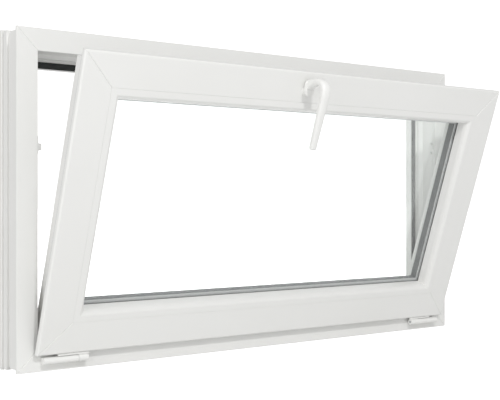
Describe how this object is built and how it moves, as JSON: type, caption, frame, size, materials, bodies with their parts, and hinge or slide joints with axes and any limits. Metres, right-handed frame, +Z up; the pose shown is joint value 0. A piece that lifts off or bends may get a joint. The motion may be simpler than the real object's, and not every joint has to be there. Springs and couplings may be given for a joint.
{
  "type": "tilt window sash and frame",
  "caption": "Bottom-hung window: hollow-profile frame, double-glazed sash that tilts inward on barrel hinges, lever handle with cam locking gear and a stay arm.",
  "frame": {"origin": "middle of the room-side foot rib under the sill, half way across the window", "axes": "+X runs right across the window seen from the room, +Y points outdoors, +Z is up"},
  "size_m": [1.1, 0.3093, 0.6],
  "materials": {
    "white_profile": "satin white uPVC, extruded",
    "white_bead": "satin white uPVC, extruded",
    "black_gasket": "matt black EPDM seal",
    "edge_sealant": "cast polysulphide edge seal",
    "grey_gasket": "pale grey soft seal",
    "clear_glass": "clear float glass",
    "spacer_metal": "dull grey drawn aluminium",
    "block_plastic": "moulded setting block",
    "zinc_steel": "zinc-plated steel",
    "white_enamel": "white powder coat on die-cast metal",
    "slide_plastic": "black sliding shoe"
  },
  "bodies": {
    "frame": {"frame_head": "white_profile", "frame_sill": "white_profile", "frame_jamb_left": "white_profile", "frame_jamb_right": "white_profile", "frame_steels": "zinc_steel", "frame_gasket_top": "black_gasket", "frame_gasket_bottom": "black_gasket", "frame_gasket_left": "black_gasket", "frame_gasket_right": "black_gasket", "drain_caps": "white_profile", "keepers_top": "white_enamel", "keeper_left": "white_enamel", "keeper_right": "white_enamel", "keeper_screws": "zinc_steel", "hinge_frame_left": "white_enamel", "hinge_frame_right": "white_enamel", "hinge_studs": "zinc_steel", "hinge_pins": "zinc_steel", "hinge_caps": "white_enamel", "stay_bracket": "zinc_steel", "stay_bracket_screws": "zinc_steel"},
    "sash": {"sash_top_rail": "white_profile", "sash_bottom_rail": "white_profile", "sash_left_stile": "white_profile", "sash_right_stile": "white_profile", "sash_steels": "zinc_steel", "bead_top": "white_bead", "bead_bottom": "white_bead", "bead_left": "white_bead", "bead_right": "white_bead", "inner_pane": "clear_glass", "outer_pane": "clear_glass", "spacer_bars": "spacer_metal", "edge_seal": "edge_sealant", "setting_blocks": "block_plastic", "glazing_gasket_inner": "black_gasket", "glazing_gasket_outer": "black_gasket", "overlap_gasket": "grey_gasket", "faceplate_top": "zinc_steel", "faceplate_left": "zinc_steel", "faceplate_right": "zinc_steel", "faceplate_screws": "zinc_steel", "corner_drive_left": "zinc_steel", "corner_drive_right": "zinc_steel", "gear_case": "zinc_steel", "handle_collar": "white_enamel", "hinge_sash_left": "white_enamel", "hinge_sash_right": "white_enamel", "hinge_sash_screws": "zinc_steel", "stay_track": "zinc_steel"},
    "handle": {"handle_lever": "white_enamel", "handle_spindle": "zinc_steel", "handle_grub_screw": "zinc_steel", "gear_pinion": "zinc_steel"},
    "rod_top": {"drive_rod_top": "zinc_steel"},
    "rod_left": {"drive_rod_left": "zinc_steel"},
    "rod_right": {"drive_rod_right": "zinc_steel"},
    "stay": {"stay_arm": "zinc_steel"},
    "shoe": {"stay_shoe": "slide_plastic"}
  },
  "joints": [
    {"name": "sash_tilt", "type": "hinge", "parent": "frame", "child": "sash", "pos_m": [0, -0.0125, 0.02], "axis": [1, 0, 0], "range_deg": [-18.5, 0]},
    {"name": "stay_swing", "type": "hinge", "parent": "frame", "child": "stay", "pos_m": [0.5035, 0.0075, 0.12], "axis": [1, 0, 0], "range_deg": [-27.33, 0]},
    {"name": "shoe_turn", "type": "hinge", "parent": "stay", "child": "shoe", "pos_m": [0.5035, -0.08432, 0.29768], "axis": [1, 0, 0], "range_deg": [0, 8.83]},
    {"name": "handle_turn", "type": "hinge", "parent": "sash", "child": "handle", "pos_m": [-0.044, -0.17715, 0.50578], "axis": [0, -0.9483, -0.3173], "range_deg": [0, 90]},
    {"name": "top_rod_slide", "type": "slide", "parent": "sash", "child": "rod_top", "axis": [-1, 0, 0], "range_m": [0, 0.01473]},
    {"name": "left_rod_slide", "type": "slide", "parent": "sash", "child": "rod_left", "axis": [0, 0.3173, -0.9483], "range_m": [0, 0.01473]},
    {"name": "right_rod_slide", "type": "slide", "parent": "sash", "child": "rod_right", "axis": [0, -0.3173, 0.9483], "range_m": [0, 0.01473]}
  ],
  "couplings": [
    {"joint": "stay_swing", "follows": "sash_tilt", "ratio": 1.4772},
    {"joint": "shoe_turn", "follows": "sash_tilt", "ratio": -0.47724},
    {"joint": "top_rod_slide", "follows": "handle_turn", "m_per_rad": 0.009375},
    {"joint": "left_rod_slide", "follows": "handle_turn", "m_per_rad": 0.009375},
    {"joint": "right_rod_slide", "follows": "handle_turn", "m_per_rad": 0.009375}
  ]
}
